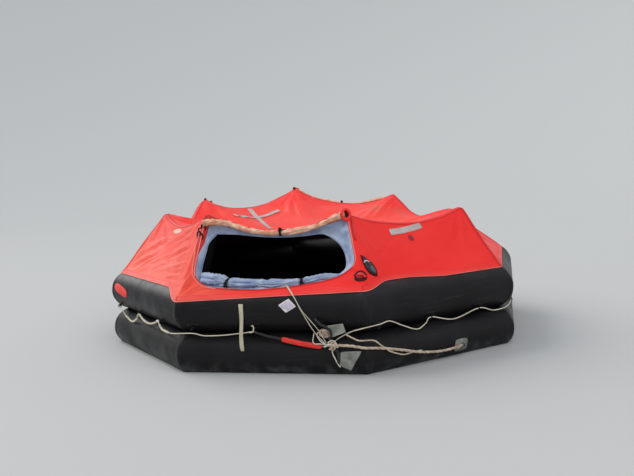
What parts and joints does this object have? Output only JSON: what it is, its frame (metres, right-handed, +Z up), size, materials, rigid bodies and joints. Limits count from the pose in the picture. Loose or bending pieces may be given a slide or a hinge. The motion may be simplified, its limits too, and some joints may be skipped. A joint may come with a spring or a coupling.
{
  "type": "inflatable life raft",
  "caption": "Canopied inflatable life raft: two stacked ring tubes, leaning struts, sagging canopy with a front and a rear entrance, rolled door flaps, lifeline and underside gear.",
  "frame": {"origin": "under the middle of the raft, at the lowest face of its lower ring tube", "axes": "+Z up, -Y towards the front entrance, +X to the right of a viewer who looks at the front entrance"},
  "size_m": [3.36, 3.3686, 1.2308],
  "materials": {
    "tube": "satin",
    "canopy": "matte",
    "lining": "matte",
    "flap": "matte",
    "webbing": "matte",
    "rope": "matte",
    "grey": "matte",
    "floor": "matte",
    "tag": "matte",
    "steel": "satin",
    "window": "satin"
  },
  "bodies": {
    "root": {"lower_tube": "tube", "upper_tube": "tube", "canopy_roof": "canopy", "floor": "floor", "lifeline": "rope", "blank_tag": "tag", "tow_pad_upper": "grey", "tow_pad_lower": "grey", "red_grab_strip": "canopy", "gas_cylinder": "steel", "righting_strap": "webbing", "canopy_wall_front": "canopy", "canopy_wall_front_right": "canopy", "canopy_wall_right": "canopy", "canopy_wall_rear_right": "canopy", "canopy_wall_rear": "canopy", "canopy_wall_rear_left": "canopy", "canopy_wall_left": "canopy", "canopy_wall_front_left": "canopy", "strut_1": "tube", "strut_2": "tube", "strut_3": "tube", "strut_4": "tube", "strut_5": "tube", "strut_6": "tube", "strut_7": "tube", "strut_8": "tube", "water_pocket_1": "floor", "water_pocket_2": "floor", "water_pocket_3": "floor", "water_pocket_4": "floor", "door_lining_front": "lining", "outer_flap_roll_front": "flap", "inner_flap_roll_front": "lining", "boarding_strap_front": "webbing", "door_lining_rear": "lining", "outer_flap_roll_rear": "flap", "inner_flap_roll_rear": "lining", "boarding_strap_rear": "webbing", "oval_window": "window", "round_port": "window"}
  },
  "joints": []
}
